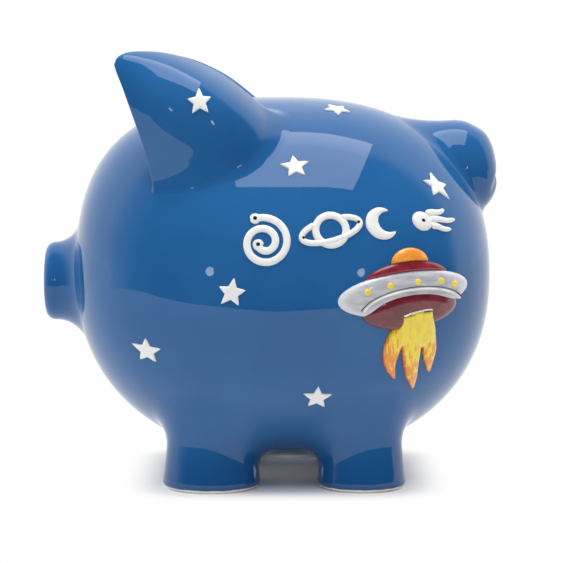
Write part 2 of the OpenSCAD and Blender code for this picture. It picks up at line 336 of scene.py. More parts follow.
def stroke(cover, line, half_width, up, turn=0, ends=None, widths=None, columns=20, step=0.4, full=0.8):
    """A raised line of slip, as one closed shell and the share along and across of each point.

    line holds flat points in mm, and up is one height or several from its start to its end. The section
    is half a rounded bead: half_width * cos q across and up * sin(q) ^ full high, so a smaller full
    gives a flatter top, with a flat underside sunk into the glaze. The ends are round: the width
    follows a circle of radius ends there, so a larger one makes a ball. widths, from the start to the
    end of the line, are half widths where they aren't even."""
    ball = ends or half_width
    along, length = smooth_line(line)
    count = max(12, int(length / step))
    even = np.linspace(0, 1, count + 2)[1:-1]
    share = (1 - np.cos(math.pi * even)) / 2 * 0.35 + even * 0.65
    gone = np.minimum(share, 1 - share) * length
    bulb = np.sqrt(np.maximum(ball ** 2 - (np.minimum(gone, 2 * ball) - ball) ** 2, 0))
    wide = np.where(gone < ball, bulb, np.maximum(bulb, half_width))
    if widths is not None:
        wide = wide / half_width * np.interp(share, np.linspace(0, 1, len(widths)), widths)
    centre = along(share)
    ahead = unit(along(np.minimum(share + 1e-3, 1)) - along(np.maximum(share - 1e-3, 0)))
    q = np.linspace(0, TURN, columns, endpoint=False)
    side = np.cos(q)[None, :] * wide[:, None]
    crest = np.interp(share, np.linspace(0, 1, np.size(up)), np.atleast_1d(up))[:, None]
    high = bead(q, crest, full) * np.minimum(1, (wide / half_width)[:, None] ** 0.7)
    a = centre[:, None, 0] - ahead[:, None, 1] * side
    b = centre[:, None, 1] + ahead[:, None, 0] * side
    a, b = turned(a, b, turn)
    points, faces = tube_rings(cover(a, b, high))
    uv = np.stack(np.broadcast_arrays(share[:, None], (np.cos(q)[None, :] + 1) / 2), axis=-1).reshape(-1, 2)
    return points, faces, np.vstack([uv, [0, 0.5], [1, 0.5]])


def pillow(cover, centre, radius, up, base=0.0, flatness=3.0, turn=0, columns=120, rows=14, low=None):
    """A raised flat shape, as one closed shell and the share out from its middle of each point.

    radius(q) is the outline's distance from the centre at the angle q, in mm. The top stands at base +
    up * sqrt(1 - r ^ flatness) at the share r of the way out, and low(a, b), from 0 to 1, lets it down
    where another shape lies over it."""
    q = np.linspace(0, TURN, columns, endpoint=False)
    out = np.sin(np.linspace(0, math.pi / 2, rows + 1)[1:])
    far = radius(q)
    r = np.concatenate([out, [1.0, 0.9, 0.5]])
    a = r[:, None] * far * np.cos(q)
    b = r[:, None] * far * np.sin(q)
    a, b = turned(a, b, turn)
    a, b = a + centre[0], b + centre[1]
    top = base + up * np.sqrt(np.maximum(1 - out ** flatness, 0))
    high = np.concatenate([top, [base - SINK] * 3])[:, None] + 0 * a
    if low is not None:
        high[:rows] = high[:rows] * low(a[:rows], b[:rows]) - 0.3 * (1 - low(a[:rows], b[:rows]))
    points, faces = tube_rings(cover(a, b, high))
    uv = np.stack(np.broadcast_arrays(r[:, None], q[None, :] / TURN), axis=-1).reshape(-1, 2)
    return points, faces, np.vstack([uv, [0, 0], [0, 0]])


def build(name, shells, paint, body, slot, replaces=()):
    """Makes one piece from closed shells, gives it its finish and ties it to the frame."""
    points, faces, uvs, first = [], [], [], 0
    for shell in shells:
        points.append(shell[0])
        faces += [[i + first for i in f] for f in shell[1]]
        uvs.append(shell[2] if len(shell) > 2 else np.zeros((len(shell[0]), 2)))
        first += len(shell[0])
    mesh = bpy.data.meshes.new(name)
    mesh.from_pydata(np.vstack(points).tolist(), [], faces)
    corners_of = np.empty(len(mesh.loops), int)
    mesh.loops.foreach_get("vertex_index", corners_of)
    layer = mesh.uv_layers.new(name="paint")
    layer.data.foreach_set("uv", np.vstack(uvs)[corners_of].ravel())
    mesh.polygons.foreach_set("use_smooth", np.ones(len(mesh.polygons), bool))
    mesh.materials.append(paint)
    mesh.update()
    piece = bpy.data.objects.new(name, mesh)
    bpy.context.scene.collection.objects.link(piece)
    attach(piece, body)
    if replaces:
        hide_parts(*replaces)
    return piece


def clay_piece(name, rings, closed=False):
    """A glazed part of the casting, in place of its CAD node."""
    node = "body_shell" if name == "barrel" else name
    build(name, [tube_rings(rings, closed)], paint("glaze"), BANK, "blue_glaze", [node])


def slip_piece(name, shells):
    """Raised white decoration, in place of its CAD node."""
    build(name, shells, paint("slip"), BANK, "white_line", [name])


# ---------------------------------------------------------------- materials


class Value:
    """One output socket. Arithmetic on it adds Math nodes."""

    def __init__(self, paint, socket):
        self.paint, self.socket = paint, socket

    def maths(self, operation, *values):
        return self.paint.node("ShaderNodeMath", "Value", {"operation": operation}, *values)

    def __add__(self, other):
        return self.maths("ADD", self, other)

    __radd__ = __add__

    def __sub__(self, other):
        return self.maths("SUBTRACT", self, other)

    def __rsub__(self, other):
        return self.maths("SUBTRACT", other, self)

    def __mul__(self, other):
        return self.maths("MULTIPLY", self, other)

    __rmul__ = __mul__

    def __truediv__(self, other):
        return self.maths("DIVIDE", self, other)

    def __pow__(self, other):
        return self.maths("POWER", self, other)

    def __abs__(self):
        return self.maths("ABSOLUTE", self)

    def at_least(self, low):
        return self.maths("MAXIMUM", self, low)

    def at_most(self, high):
        return self.maths("MINIMUM", self, high)


class Paint:
    """The node tree of a material or a world, built from expressions."""

    def __init__(self, owner):
        owner.use_nodes = True
        self.owner = owner
        self.tree = owner.node_tree
        self.shader = self.tree.nodes.get("Principled BSDF")

    def put(self, value, socket):
        """Links a Value to the socket, or sets the socket to a number or colour."""
        if isinstance(value, Value):
            self.tree.links.new(value.socket, socket)
        elif socket.type == "RGBA" and len(value) == 3:
            socket.default_value = (*value, 1.0)
        else:
            socket.default_value = value

    def node(self, kind, output, settings=None, *inputs, **named):
        """Adds a node, sets its settings, fills its sockets in order and by name, and gives one output."""
        node = self.tree.nodes.new(kind)
        for key, value in (settings or {}).items():
            setattr(node, key, value)
        for socket, value in zip(node.inputs, inputs):
            self.put(value, socket)
        for key, value in named.items():
            self.put(value, node.inputs[key.replace("_", " ")])
        return Value(self, node.outputs[output])

    def place(self):
        """Object coordinates."""
        return self.node("ShaderNodeTexCoord", "Object")

    def part(self, vector, axis):
        """One part, X, Y or Z, of a vector."""
        return self.node("ShaderNodeSeparateXYZ", axis, None, vector)

    def noise(self, scale, detail=2.0, stretch=None):
        """Noise from 0 to 1 on object coordinates, stretched by three factors if given."""
        vector = self.place()
        if stretch:
            vector = self.node("ShaderNodeMapping", "Vector", None, vector, Scale=stretch)
        return self.node("ShaderNodeTexNoise", "Fac", None, Vector=vector, Scale=scale, Detail=detail)

    def step(self, value, low, high):
        """0 below low, 1 above high, smooth between."""
        smooth = {"interpolation_type": "SMOOTHSTEP"}
        return self.node("ShaderNodeMapRange", "Result", smooth, value, low, high, 0, 1)

    def mix(self, share, a, b):
        """Colour a turning into colour b."""
        node = self.tree.nodes.new("ShaderNodeMix")
        node.data_type = "RGBA"
        self.put(share, node.inputs[0])
        self.put(a, node.inputs[6])
        self.put(b, node.inputs[7])
        return Value(self, node.outputs[2])

    def uv(self, axis):
        """The piece's own share along (X) or across (Y)."""
        return self.part(self.node("ShaderNodeUVMap", "UV", {"uv_map": "paint"}), axis)

    def bump(self, value, distance, strength=1.0):
        """Raises the surface by distance where the value is 1."""
        sockets = {"Strength": strength, "Distance": distance, "Height": value}
        self.put(self.node("ShaderNodeBump", "Normal", None, **sockets), self.shader.inputs["Normal"])

    def finish(self, **sockets):
        """Sets the surface's own sockets and gives the material."""
        for key, value in sockets.items():
            self.put(value, self.shader.inputs[key.replace("_", " ")])
        return self.owner


def new_paint(name):
    """An empty material, ready for expressions."""
    return Paint(bpy.data.materials.new(name))


VARNISH = {"Coat_Weight": 0.9, "Coat_Roughness": 0.05}


def glaze_paint():
    """Blue glaze: pooled and thin patches, slow waves in its surface, painted shade that darkens it
    towards the floor, and bare clay under the feet.
    """
    glaze = bpy.context.scene.piggy_glaze
    p = new_paint("blue_glaze")
    cloud = p.step(p.noise(22.0, 3.0), 0.35, 0.7)
    fine = p.noise(900.0, 2.0)
    colour = p.mix(cloud, tuple(glaze.blue), tuple(glaze.deep))
    z = p.part(p.place(), "Z")
    edge = z + 0.0006 * (p.noise(260.0, 2.0) - 0.5)
    bare = 1 - p.step(edge, glaze.bare_height - 0.0002, glaze.bare_height + 0.0002)
    # Painted shade: the blue turns darker from 36 mm above the floor down to 4 mm, for the dim light there.
    colour = p.mix(p.step(z + 0.006 * cloud, 0.004, 0.036), (0.0085, 0.070, 0.215), colour)
    grit = p.mix(fine, tuple(glaze.biscuit), (0.68, 0.66, 0.61))
    p.bump(p.noise(38.0, 1.0) + 0.012 * fine + bare * fine * 0.15, 0.00035, 0.55)
    return p.finish(Base_Color=p.mix(bare, colour, grit), Roughness=0.03 + bare * 0.8, IOR=1.48)


def slip_paint():
    """White raised slip under glaze: slightly dull, with faint pits."""
    glaze = bpy.context.scene.piggy_glaze
    p = new_paint("white_slip")
    cloud = p.noise(420.0, 3.0)
    p.bump(p.noise(700.0, 2.0), 0.00012, 0.6)
    return p.finish(Base_Color=p.mix(cloud, tuple(glaze.white), (0.78, 0.79, 0.79)), Roughness=0.38,
                    Coat_Weight=0.5, Coat_Roughness=0.1)


def enamel(name, colour, shade, streak=(1, 1, 1), scale=260.0, roughness=0.25):
    """Brushed enamel: the colour, with streaks of its shade where the brush left less."""
    p = new_paint(name)
    streaks = p.step(p.noise(scale, 4.0, streak), 0.38, 0.68)
    p.bump(p.noise(scale * 2, 3.0, streak), 0.0001, 0.7)
    return p.finish(Base_Color=p.mix(streaks, colour, shade), Roughness=roughness, **VARNISH)


def rim_paint():
    """Silver-grey enamel with a painted highlight: lighter grey near the rim's outline."""
    p = new_paint("rim_enamel")
    out = p.uv("X")
    streaks = p.noise(240.0, 4.0, (0.35, 1, 1.6))
    grey = p.mix(p.step(streaks, 0.35, 0.7), (0.44, 0.45, 0.50), (0.60, 0.61, 0.65))
    p.bump(streaks, 0.0001, 0.6)
    # Painted highlight: the outer fifth of the rim, out to its outline, is lighter grey.
    return p.finish(Base_Color=p.mix(p.step(out, 0.80, 0.98), grey, (0.70, 0.70, 0.72)), Roughness=0.24,
                    **VARNISH)


def flame_paint():
    """Flame enamel: yellow with orange streaks along the tongues, and orange-red tips and edges."""
    p = new_paint("flame_enamel")
    along, across = p.uv("X"), p.uv("Y")
    wobble = p.noise(420.0, 3.0, (2.2, 1, 0.25)) - 0.5
    off = abs(across - 0.5) * 2
    late = p.step(along, 0.12, 0.5)
    edge = p.step(off + wobble * 0.6, 0.66, 1.0) * late
    streak = p.step(wobble + along * 0.35, 0.12, 0.26) * late
    yellow = p.mix(p.step(wobble, -0.1, 0.15), (0.90, 0.70, 0.02), (0.82, 0.58, 0.02))
    body = p.mix(p.step(along + wobble * 0.5, 0.62, 1.0), yellow, (0.82, 0.22, 0.010))
    body = p.mix(streak * 0.75, body, (0.82, 0.20, 0.010))
    p.bump(p.noise(500.0, 3.0, (1.6, 1, 0.35)), 0.00012, 0.7)
    return p.finish(Base_Color=p.mix(edge * 0.8, body, (0.66, 0.08, 0.010)), Roughness=0.25, **VARNISH)


def plug_paint():
    """Milky soft plastic, satin, with a faint moulding texture."""
    p = new_paint("stopper_plastic")
    cloud = p.noise(90.0, 2.0)
    p.bump(p.noise(1400.0, 2.0), 0.00008, 0.5)
    return p.finish(Base_Color=p.mix(cloud, (0.80, 0.81, 0.80), (0.72, 0.74, 0.74)), Roughness=0.42,
                    Subsurface_Weight=0.15, Subsurface_Radius=(0.004, 0.004, 0.004))


BRUSHED = (0.4, 1, 1.5)
PAINTS = {}


def paint(name):
    """The material of that name, made when it's first asked for."""
    makers = {
        "glaze": glaze_paint,
        "slip": slip_paint,
        "rim": rim_paint,
        "flame": flame_paint,
        "plug": plug_paint,
        "orange": lambda: enamel("dome_enamel", (0.83, 0.26, 0.02), (0.90, 0.42, 0.06), (0.5, 1, 1.4)),
        "crimson": lambda: enamel("hull_enamel", (0.20, 0.008, 0.018), (0.34, 0.02, 0.04), BRUSHED),
        "maroon": lambda: enamel("underside_enamel", (0.12, 0.005, 0.012), (0.21, 0.012, 0.025), BRUSHED),
        "ivory": lambda: enamel("lip_enamel", (0.80, 0.79, 0.76), (0.66, 0.66, 0.66), BRUSHED),
        "yellow": lambda: enamel("light_enamel", (0.88, 0.60, 0.03), (0.93, 0.72, 0.10)),
        "black": lambda: enamel("dot_enamel", (0.008, 0.008, 0.010), (0.02, 0.02, 0.024)),
    }
    if name not in PAINTS:
        PAINTS[name] = makers[name]()
    return PAINTS[name]


# ---------------------------------------------------------------- pieces of clay


def barrel_rings():
    """Rings of the hollow barrel, from the lip of the coin slot down the outside to the stopper hole,
    through the hole and up the inside to the slot again, so the last ring joins the first.

    A ring near the slot is the slot's outline drawn out towards a circle, and then rings lie at even
    angles from the top. The lip, the seat and the hole's edges are quarter circles."""
    clay = bpy.context.scene.piggy_clay
    columns = 288
    q = np.linspace(0, TURN, columns, endpoint=False)
    circle = np.stack([np.cos(q), np.sin(q)], axis=-1)
    half, end = (clay.slot_length - clay.slot_width) / 2, clay.slot_width / 2

    def slot(grow):
        """The slot's outline, grown by grow, in even steps: straight runs and round ends."""
        r = end + grow
        quarter = math.pi / 2 * r
        side = half + quarter
        gone = (q / TURN * 4 * side) % (4 * side)
        lap = np.where(gone > 2 * side, gone - 2 * side, gone)
        first, last = lap < quarter, lap > quarter + 2 * half
        turn = np.where(first, lap / r, np.where(last, (lap - 2 * half) / r, math.pi / 2))
        x = np.where(first, half, np.where(last, -half, half - (lap - quarter)))
        flip = np.where(gone > 2 * side, -1, 1)
        along = flip * (x + r * np.cos(turn)) + MIDDLE[0] + clay.slot_place
        return np.stack([along, flip * r * np.sin(turn)], -1)

    def parallel(angle):
        """Directions from the barrel's middle all around at the angle from the top."""
        return np.concatenate([circle * math.sin(angle), np.full((columns, 1), math.cos(angle))], axis=-1)

    def level(outline, z):
        return np.concatenate([outline, np.broadcast_to(z, columns)[:, None]], axis=-1)

    lip, bend = 1.4 * MM, np.linspace(0, math.pi / 2, 6)
    lip_z = crown(*slot(lip).T, 1)[:, 2]
    cap = math.radians(32)
    rings = [level(slot(0), lip_z - clay.wall + lip)]
    rings += [level(slot(lip * (1 - math.sin(b))), lip_z - lip * (1 - math.cos(b))) for b in bend[::-1]]
    rim = MIDDLE[:2] + circle * RADIUS * math.sin(cap)
    for w in np.linspace(0, 1, 26)[1:] ** 1.15:
        rings.append(crown(*(slot(lip) * (1 - w) + rim * w).T, 1))
    edge = 0.8 * MM
    last = math.pi - math.asin((clay.seat_radius + edge) / RADIUS)
    for angle in np.linspace(cap, last, 110)[1:-1]:
        d = parallel(angle)
        rings.append(MIDDLE + d * reach(d)[:, None])

    def round_hole(radius):
        return MIDDLE[:2] + circle * radius

    seat_z = FLANGE_UNDERSIDE + FLANGE_THICK
    outer_z = crown(*round_hole(clay.seat_radius + edge).T, -1)[:, 2]
    drop = np.minimum(edge, np.maximum(seat_z - outer_z, 0.02 * MM))
    for b in bend:
        outline = round_hole(clay.seat_radius + edge * (1 - math.sin(b)))
        rings.append(level(outline, outer_z + drop * (1 - math.cos(b))))
    rings.append(level(round_hole(clay.seat_radius), np.maximum(outer_z + drop, seat_z)))
    for radius in (clay.seat_radius - 0.3 * MM, clay.hole_radius + 0.8 * MM):
        rings.append(level(round_hole(radius), seat_z))
    soft = 0.6 * MM
    for b in bend:
        outline = round_hole(clay.hole_radius + soft * (1 - math.sin(b)))
        rings.append(level(outline, seat_z + soft * (1 - math.cos(b))))
    boss_z, boss = seat_z + 6.4 * MM, clay.seat_radius + 5 * MM
    for radius in (clay.hole_radius, clay.hole_radius + 1 * MM, boss - 2 * MM):
        rings.append(level(round_hole(radius), boss_z))
    inner_last = math.pi - math.asin(boss / (RADIUS - clay.wall))
    for angle in np.linspace(inner_last, cap, 60):
        d = parallel(angle)
        rings.append(MIDDLE + d * (reach(d) - clay.wall)[:, None])
    inside = rings[-1][:, :2]
    for w in np.linspace(0, 1, 14)[1:]:
        p = crown(*(inside * (1 - w) + slot(lip) * w).T, 1)
        p[:, 2] -= clay.wall
        rings.append(p)
    return np.array(rings)


def stub_tip(origin, axis, side_a, side_b, radius, edge, columns, dimple=None, rows=10):
    """Rings of a limb's flat round end: a disc, then a quarter circle of radius edge down to the side
    wall. dimple(a, b) gives how deep the disc is pressed in at a and b."""
    q = np.linspace(0, TURN, columns, endpoint=False)
    flat = np.linspace(0, 1, rows + 1)[1:] * (radius - edge)
    bend = np.linspace(0, math.pi / 2, 9)[1:]
    out = np.concatenate([flat, radius - edge + edge * np.sin(bend)])
    down = np.concatenate([0 * flat, edge * (1 - np.cos(bend))])
    a, b = out[:, None] * np.cos(q), out[:, None] * np.sin(q)
    deep = down[:, None] + 0 * a
    if dimple is not None:
        deep = deep + dimple(a, b)
    return origin + a[..., None] * side_a + b[..., None] * side_b - deep[..., None] * axis


def stub_wall(origin, axis, side_a, side_b, radius, edge, length, columns, taper=0.0):
    """The side wall of a round limb as a function of the share of the way in, for flared."""
    q = np.linspace(0, TURN, columns, endpoint=False)
    ring = np.cos(q)[:, None] * side_a + np.sin(q)[:, None] * side_b

    def wall(v):
        wide = radius * (1 + taper * v)
        return origin + ring * wide[:, None] - (edge + v * (length - edge))[:, None] * axis

    return wall


class PIGGY_OT_barrel(Operator):
    """Add the hollow barrel with its coin slot and stopper hole"""

    bl_idname = "piggy.barrel"
    bl_label = "Barrel"

    def execute(self, context):
        clay_piece("barrel", barrel_rings(), closed=True)
        return {"FINISHED"}


class PIGGY_OT_snout(Operator):
    """Add the snout disc with two pressed nostrils"""

    bl_idname = "piggy.snout"
    bl_label = "Snout"

    def execute(self, context):
        low, high = corners("snout")
        columns, edge, radius, length, fillet = 240, 4.2 * MM, 17.6 * MM, 34 * MM, 10 * MM
        face = np.array([low[0], 0, (low[2] + high[2]) / 2])
        apart, raised, depth = 6.6 * MM, 0.5 * MM, 3.4 * MM
        half_wide, half_tall = 3.0 * MM, 3.9 * MM

        def nostrils(a, b):
            """Two oval thumb-nail dents."""
            deep = 0
            for side in (-1, 1):
                away = ((a - side * apart) / half_wide) ** 2 + ((b - raised) / half_tall) ** 2
                deep = deep + depth * np.exp(-away ** 2)
            return deep

        tip = stub_tip(face, -X, Y, Z, radius, edge, columns, nostrils, rows=48)
        wall = stub_wall(face, -X, Y, Z, radius, edge, length, columns, taper=0.06)
        clay_piece("snout", flared(tip, wall, np.full(columns, fillet), rows=14))
        return {"FINISHED"}


class PIGGY_OT_feet(Operator):
    """Add the four stubby feet"""

    bl_idname = "piggy.feet"
    bl_label = "Feet"

    def execute(self, context):
        columns, edge, length = 144, 3.4 * MM, 60 * MM
        fillet, fillet_outside = 9, 5
        q = np.linspace(0, TURN, columns, endpoint=False)
        for node in ("foot_front_left", "foot_front_right", "foot_rear_left", "foot_rear_right"):
            low, high = corners(node)
            middle = (low + high) / 2
            origin = np.array([middle[0], middle[1], 0.0])
            radius = (high[0] - low[0]) / 2
            tip = stub_tip(origin, -Z, X, Y, radius, edge, columns)
            wall = stub_wall(origin, -Z, X, Y, radius, edge, length, columns, taper=-0.34)
            outer = (1 + np.sin(q) * np.sign(middle[1])) / 2
            blend = (fillet + fillet_outside * outer ** 2) * MM
            clay_piece(node, flared(tip, wall, blend, rows=16))
        return {"FINISHED"}


# The ear's outline from the leading root over the tip to the trailing root, in mm behind and above the
# barrel's middle.
EAR_LINE = [
    (-48, 14), (-51.5, 25), (-54.6, 38), (-56, 46), (-58.2, 56), (-61.5, 66.7), (-65, 77), (-68.2, 86),
    (-70.4, 91.5), (-71.6, 95.2), (-70.2, 98.4), (-66.2, 100.4), (-60.5, 100.9), (-52, 100.5),
    (-42.8, 98.5), (-34, 95), (-25, 90.2), (-16, 83.4), (-8, 76.5), (-2, 70), (1.6, 62), (0.5, 52),
    (-5, 42), (-14, 33), (-26, 24)
]
EAR_TIP = 9
EAR_CREST, EAR_PEAK = -0.35, 0.52
EAR_DEPTH = 17.5 * MM
EAR_MIDDLE = np.array([-30, 152]) * MM
EAR_OUT = 50 * MM
EAR_LEAN_ALONG, EAR_LEAN_UP = 0.44, 0.03
EAR_HOOK, EAR_HOOK_START = 10, 11 * MM
EAR_THICK, EAR_THICK_CHANGE = 4.2, 2.2
EAR_FILLET, EAR_FILLET_TRAILING = 1.0, 6.4


def ear_wall():
    """The left ear as rings from its tip to its root, as a function of the share of the way down.

    A ring is a cut through the ear, like a wing's: the middle line runs from the leading edge of the
    outline to the trailing edge at the same share and is bowed outwards by 1 - u ^ p, where u is how
    far the place c lies from the crest, as a share of the way from there to its own edge. The surface
    lies a thickness each side of it that grows from the thin leading edge to the full trailing edge.
    Half circles close both edges. The whole ear leans out towards its leading edge, and over the barrel
    towards its tip."""
    line = np.array(EAR_LINE) * MM + MIDDLE[[0, 2]]
    lead, _ = smooth_line(line[EAR_TIP::-1])
    trail, _ = smooth_line(line[EAR_TIP:])
    half_turn = np.linspace(0, math.pi, 26, endpoint=False)
    outer, inner = np.linspace(1, -1, 90, endpoint=False), np.linspace(-1, 1, 70, endpoint=False)
    c = np.concatenate([outer, np.full(26, -1.0), inner, np.full(14, 1.0)])
    front = np.linspace(0, math.pi, 14, endpoint=False)
    turn = np.concatenate([0 * outer, half_turn, 0 * inner + math.pi, math.pi + front])

    def wall(v):
        share = (v * np.ones(len(c))) ** 1.35
        full = 1 - (1 - share) ** 2.6
        a, b = lead(share), trail(share)
        chord = unit(b - a + 1e-9)
        half = np.linalg.norm(b - a, axis=-1) / 2
        thick = (EAR_THICK - EAR_THICK_CHANGE * c) * MM * np.minimum(full, half / (7 * MM))
        place = -c * (half - thick)
        near, crest = np.where(c > EAR_CREST, 1 - EAR_CREST, -1 - EAR_CREST), c - EAR_CREST
        power = np.where(c > EAR_CREST, 2.0, 2.4 + share)
        flat = (a + b) / 2 + chord * place[:, None]
        rising = (0.5 - 0.5 * np.cos(np.minimum(share / EAR_PEAK, 1) * math.pi)) ** 0.7
        falling = 0.5 + 0.5 * np.cos((share - EAR_PEAK) / 0.86 * math.pi)
        deep = EAR_DEPTH * np.where(share < EAR_PEAK, rising, falling)
        bow = deep * (1 - np.abs(crest / near) ** power)
        slope = deep * power * np.abs(crest / near) ** (power - 1) / near / np.maximum(half, 1 * MM)
        lean = np.arctan(slope)
        along = thick * (np.sin(turn) * np.cos(lean) - np.cos(turn) * np.sin(lean))
        out = thick * (np.cos(turn) * np.cos(lean) + np.sin(turn) * np.sin(lean)) + bow
        flat = flat + chord * along[:, None]
        away = flat - EAR_MIDDLE
        over = np.maximum(away[:, 1] - EAR_HOOK_START, 0)
        mid = -EAR_OUT + EAR_LEAN_ALONG * away[:, 0] + EAR_LEAN_UP * away[:, 1] + EAR_HOOK * over ** 2
        return np.stack([flat[:, 0], mid - out, flat[:, 1]], axis=-1)

    return wall, (1 - c) / 2


class PIGGY_OT_ears(Operator):
    """Add the two cupped ears"""

    bl_idname = "piggy.ears"
    bl_label = "Ears"

    def execute(self, context):
        wall, trailing = ear_wall()
        blend = (EAR_FILLET + EAR_FILLET_TRAILING * trailing ** 3) * MM
        rings = flared(None, wall, blend, rows=120, flare_rows=14)
        for node, side in (("ear_left", 1), ("ear_right", -1)):
            clay_piece(node, rings * np.array([1, side, 1]))
        return {"FINISHED"}


class PIGGY_OT_tail(Operator):
    """Add the curled tail"""

    bl_idname = "piggy.tail"
    bl_label = "Tail"

    def execute(self, context):
        columns = 200
        blend = (3 + 8 * np.clip(np.sin(np.linspace(0, TURN, columns, endpoint=False)), 0, 1) ** 2) * MM
        clay_piece("tail", flared(None, tail_wall(columns), blend, rows=120))
        return {"FINISHED"}


# The groove that shows the curl on the tail's end, in mm across the end and up it.
CURL = [
    (-9, -9), (-4, -4.6), (0, -2.4), (5, -1.6), (10, 1), (13, 6.5), (12, 13), (6, 17), (-1, 18.5), (-8, 17.5)
]
TAIL_TALL, TAIL_SQUARENESS = 22 * MM, 2.6
TAIL_ROUND, TAIL_STRAIGHT = 0.62, 34 * MM


def tail_wall(columns):
    """The curled tail as rings from the middle of its end to its root, as a function of the share of
    the way in.

    The coil is a fat round cushion: (r / 21.5) ^ 2.6 + (h / 22) ^ 2.6 = 1 at the distance r from its
    axis and the height h, and straight below that. A groove along the curl is pressed into its end."""
    low, high = corners("tail")
    radius = (high[1] - low[1]) / 2
    lean = math.radians(8)
    axis = np.array([math.cos(lean), 0, math.sin(lean)])
    rise = np.array([-math.sin(lean), 0, math.cos(lean)])
    origin = np.array([high[0] - TAIL_TALL - 1.7 * MM, 0, (low[2] + high[2]) / 2 - 2.4 * MM])
    q = np.linspace(0, TURN, columns, endpoint=False)
    curl, _ = smooth_line(np.array(CURL) * MM)
    groove = curl(np.linspace(0, 1, 90))
    deep = 2.9 * MM * np.sin(np.linspace(0.12, 1, 90) * math.pi * 0.93)

    def wall(v):
        t = np.minimum(v / TAIL_ROUND, 1) * math.pi / 2
        power = 2 / TAIL_SQUARENESS
        r = radius * np.sin(t) ** power * np.ones(columns)
        straight = np.maximum(v - TAIL_ROUND, 0) / (1 - TAIL_ROUND)
        h = TAIL_TALL * np.cos(t) ** power - straight * TAIL_STRAIGHT
        across, up = -r * np.cos(q), r * np.sin(q)
        away = np.hypot(across[:, None] - groove[:, 0], up[:, None] - groove[:, 1])
        press = (deep * np.exp(-(away / (2.7 * MM)) ** 2)).max(axis=1) * (np.maximum(h, 0) / TAIL_TALL)
        return origin + (h - press)[:, None] * axis + across[:, None] * Y + 1.03 * up[:, None] * rise

    return wall


class PIGGY_OT_stopper(Operator):
    """Add the soft plastic stopper"""

    bl_idname = "piggy.stopper"
    bl_label = "Stopper"

    def execute(self, context):
        flange = (PLUG_HIGH[0] - PLUG_LOW[0]) / 2 / MM
        top = (PLUG_HIGH[2] - FLANGE_UNDERSIDE) / MM
        thick = FLANGE_THICK / MM
        stem, rib, inner = flange - 4.2, flange - 3.45, flange - 6.6
        profile = [
            (0.001, 0.5), (6.5, 0.5), (8.5, 0.2), (10, 0), (flange - 1.2, 0), (flange - 0.3, 0.4),
            (flange, 1.2), (flange - 0.3, 2.1), (flange - 0.9, thick), (stem + 0.4, thick), (stem, 2.7),
            (stem, 4.1), (rib, 4.6), (rib, 5.5), (stem, 6.0), (stem, 8.1), (rib, 8.6), (rib, 9.5),
            (stem, 10.0), (stem, top - 0.8), (stem - 0.7, top), (inner + 0.5, top), (inner, top - 0.6),
            (inner, 3.4), (inner - 1, thick), (0.001, thick)
        ]
        body = lathe(profile, np.array([MIDDLE[0], 0, FLANGE_UNDERSIDE]))
        build("stopper", [body, finger_bar()], paint("plug"), "stopper", "stopper_plastic", ["stopper"])
        return {"FINISHED"}


def lathe(profile, origin, columns=128, rows=150):
    """The profile of (radius, height) points in mm, turned about Z."""
    line = np.array(profile) * MM
    gone = np.concatenate([[0], np.cumsum(np.linalg.norm(np.diff(line, axis=0), axis=1))])
    at = np.sort(np.concatenate([np.linspace(0, gone[-1], rows), gone]))
    out, up = np.interp(at, gone, line[:, 0]), np.interp(at, gone, line[:, 1])
    q = np.linspace(0, TURN, columns, endpoint=False)
    rings = np.stack([out[:, None] * np.cos(q), out[:, None] * np.sin(q), up[:, None] + 0 * q], axis=-1)
    return tube_rings(origin + rings)


def finger_bar(columns=72, rows=32):
    """The bar under the flange that a finger pulls.

    A rounded block: |x| ^ 4 + |y| ^ 4 + |z| ^ 4 = 1 in its half sizes."""
    half = np.array([9, 2.5, 1.7]) * MM
    q = np.linspace(0, TURN, columns, endpoint=False)
    w = np.linspace(0, math.pi, rows + 2)[1:-1, None]
    d = np.stack([np.sin(w) * np.cos(q), np.sin(w) * np.sin(q), np.cos(w) + 0 * q], axis=-1)
    d = d / (np.abs(d) ** 4).sum(axis=-1, keepdims=True) ** 0.25
    return tube_rings(np.array([MIDDLE[0], 0, FLANGE_UNDERSIDE - 0.1 * MM]) + d * half)


# ---------------------------------------------------------------- raised decoration


def ellipse(a, b, tilt=0.0):
    """The outline of an ellipse as its distance from the middle at each angle."""
    def radius(q):
        q = q - math.radians(tilt)
        return a * b / np.hypot(b * np.cos(q), a * np.sin(q))
    return radius


def inside_of(centre, a, b, tilt):
    """How far out flat points lie in an ellipse: 1 on its edge and more outside."""
    def share(x, y):
        x, y = turned(x - centre[0], y - centre[1], -tilt)
        return np.hypot(x / a, y / b)
    return share


FLANK = on_flank(51, 0)
SAUCER_MID = (0, -1.3)
SAUCER_TILT = 6
RIM, BELLY, HULL, DOME = (28.3, 9.4), (20.5, 8.1), (18.3, 8.0), (8.0, 6.4)
BELLY_MID, BELLY_UP = (2.6, -8.0), 3.0
HULL_MID = (1.0, 4.4)
DOME_MID = (2.5, 11.7)


def arc_of(centre, a, b, tilt, start, end, count=24):
    """Points along part of an ellipse, from the angle start to end in degrees."""
    q = np.radians(np.linspace(start, end, count))
    x, y = turned(a * np.cos(q), b * np.sin(q), tilt)
    return np.stack([x + centre[0], y + centre[1]], axis=-1)


def beside_belly(out, start, end):
    """Points along the saucer's underside, out beyond its edge, from the angle start to end."""
    return arc_of(BELLY_MID, BELLY[0] + out, BELLY[1] + out, SAUCER_TILT, start, end)


